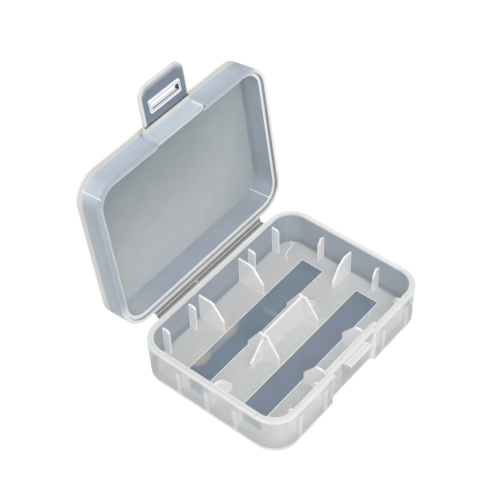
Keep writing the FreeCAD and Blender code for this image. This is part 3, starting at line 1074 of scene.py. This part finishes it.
def new_piece(name, shape, material):
    """An object of the scene made from a finished shape."""
    mesh = bpy.data.meshes.new(name)
    shape.to_mesh(mesh)
    shape.free()
    mesh.materials.append(material)
    piece = bpy.data.objects.new(name, mesh)
    bpy.context.scene.collection.objects.link(piece)
    return piece


def clear_runs(x):
    """Where a rib at this place along the case runs: between the walls, and beside the panes."""
    reach = inner_half_width - rib_margin
    past_arc = abs(x) - (inner_half_length - corner_radius)
    if past_arc > 0:
        reach -= corner_radius - math.sqrt(max(corner_radius ** 2 - past_arc ** 2, 0))
    if abs(x) > pane_half_length + rib_margin:
        return [(-reach, reach)]
    near = pane_row - pane_half_width - rib_margin
    far = pane_row + pane_half_width + rib_margin
    return [(-reach, -far), (-near, near), (far, reach)]


def floor_ribs():
    """Fine ribs across the floor, one low roof-shaped bar each."""
    shape = bmesh.new()
    count = int((inner_half_length - rib_margin) / rib_pitch)
    for step in range(-count, count + 1):
        x = step * rib_pitch
        for start, end in clear_runs(x):
            corners = [
                (x - rib_width / 2, start, floor_top),
                (x, start, floor_top + rib_height),
                (x + rib_width / 2, start, floor_top),
            ]
            face = shape.faces.new([shape.verts.new(corner) for corner in corners])
            made = bmesh.ops.extrude_face_region(shape, geom=[face])["geom"]
            moved = [item for item in made if isinstance(item, bmesh.types.BMVert)]
            bmesh.ops.translate(shape, verts=moved, vec=(0, end - start, 0))
    bmesh.ops.recalc_face_normals(shape, faces=shape.faces)
    # Painted highlight on the rib crests
    crest_highlights = cloudy_plastic("rib_highlight_plastic", rib_highlight, floor_clouds, rib_roughness, floor_cover)
    ribs = new_piece("floor_ribs", shape, crest_highlights)
    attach(ribs, "base")


def opened(point):
    """Where a point of the shut lid lies when the lid is open at rest."""
    hinge = Vector((0, hinge_y, hinge_z))
    return hinge + Matrix.Rotation(-lid_turn, 3, "X") @ (Vector(point) - hinge)


def bead(name, points, material, body):
    """A thin raised line through the points."""
    shape = bmesh.new()
    for start, end in zip(points, points[1:]):
        run = Vector(end) - Vector(start)
        turn = run.to_track_quat("Z", "Y").to_matrix().to_4x4()
        middle = Matrix.Translation((Vector(start) + Vector(end)) / 2)
        bmesh.ops.create_cone(shape, cap_ends=True, segments=mark_sides, depth=run.length + mark_radius,
                              radius1=mark_radius, radius2=mark_radius, matrix=middle @ turn)
    line = new_piece(name, shape, material)
    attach(line, body)


def round_corner(side, radius, degrees):
    """A point round the hinge-right corner (side 1) or the front-left one (side -1), seen from above."""
    angle = math.radians(degrees)
    x = side * corner_middle[0] + radius * math.cos(angle)
    y = side * corner_middle[1] + radius * math.sin(angle)
    return x, y


def mould_marks():
    """The few thin lines that the mould left in the corners and on the floor."""
    bright = plain_plastic("mark_plastic", mark_colour, mark_roughness, mark_cover)
    faint = plain_plastic("faint_mark_plastic", faint_mark_colour, mark_roughness, mark_cover)
    outer_top = round_corner(-1, lid_mark_top_reach, lid_mark_angle)
    outer_rim = round_corner(-1, lid_mark_rim_reach, lid_mark_angle)
    bead("lid_outer_mark", [opened((*outer_top, lid_mark_top)), opened((*outer_rim, lid_rim))], bright, "lid")
    inner = round_corner(1, lid_inner_corner, inner_mark_angle)
    inner_top = opened((*inner, lid_ceiling))
    bead("lid_panel_mark", [opened((*panel_mark_end, lid_ceiling)), inner_top], faint, "lid")
    bead("lid_inner_mark", [inner_top, opened((*inner, lid_rim))], bright, "lid")
    corner = round_corner(1, corner_radius, base_mark_angle)
    bead("base_corner_mark", [(*corner, floor_top), (*corner, base_mark_top)], faint, "base")
    bead("floor_mark", [(*bend, floor_top) for bend in floor_mark_bends], bright, "base")


def stage_floor():
    """Pale floor, white to the camera where no shadow falls."""
    bpy.ops.mesh.primitive_plane_add(size=floor_side, location=(0, 0, -floor_drop))
    floor = bpy.context.object
    floor.name = "stage_floor"
    material = bpy.data.materials.new("stage_floor")
    material.use_nodes = True
    tree = material.node_tree
    tree.nodes.clear()
    output = tree.nodes.new("ShaderNodeOutputMaterial")
    paint = tree.nodes.new("ShaderNodeBsdfDiffuse")
    paint.inputs["Color"].default_value = floor_paint
    lift = tree.nodes.new("ShaderNodeEmission")
    path = tree.nodes.new("ShaderNodeLightPath")
    seen = maths(tree, "MULTIPLY", path.outputs["Is Camera Ray"], floor_lift_strength)
    feed(tree, lift.inputs["Strength"], seen)
    summed = tree.nodes.new("ShaderNodeAddShader")
    feed(tree, summed.inputs[0], paint.outputs["BSDF"])
    feed(tree, summed.inputs[1], lift.outputs["Emission"])
    feed(tree, output.inputs["Surface"], summed.outputs["Shader"])
    floor.data.materials.append(material)


def sky():
    """Even soft light all round, and white behind the object."""
    world = bpy.data.worlds.new("studio")
    bpy.context.scene.world = world
    world.use_nodes = True
    tree = world.node_tree
    tree.nodes.clear()
    output = tree.nodes.new("ShaderNodeOutputWorld")
    light = tree.nodes.new("ShaderNodeBackground")
    path = tree.nodes.new("ShaderNodeLightPath")
    seen = either(tree, path.outputs["Is Camera Ray"], path.outputs["Is Transmission Ray"])
    seen = either(tree, seen, path.outputs["Is Glossy Ray"])
    feed(tree, light.inputs["Strength"], between(tree, seen, sky_strength, backdrop_strength))
    feed(tree, output.inputs["Surface"], light.outputs["Background"])


def soft_box(name, spot, side, power):
    """A square lamp that looks at the case."""
    lamp = bpy.data.lights.new(name, "AREA")
    lamp.size = side
    lamp.energy = power
    holder = bpy.data.objects.new(name, lamp)
    holder.location = spot
    aim = -Vector(spot)
    holder.rotation_euler = aim.to_track_quat("-Z", "Y").to_euler()
    bpy.context.scene.collection.objects.link(holder)


def camera():
    """The camera, where the photograph was taken from."""
    lens = bpy.data.cameras.new("camera")
    lens.sensor_width = sensor_width
    lens.lens = focal_pixels / image_side * sensor_width
    lens.clip_start = nearest_seen
    holder = bpy.data.objects.new("camera", lens)
    holder.location = camera_place
    holder.rotation_euler = camera_turn
    bpy.context.scene.collection.objects.link(holder)
    bpy.context.scene.camera = holder


bpy.context.scene.view_settings.view_transform = "Standard"
camera()
stage_floor()
sky()
soft_box("key_lamp", key_place, key_side, key_power)
soft_box("fill_lamp", fill_place, fill_side, fill_power)
dress_case()
floor_ribs()
mould_marks()
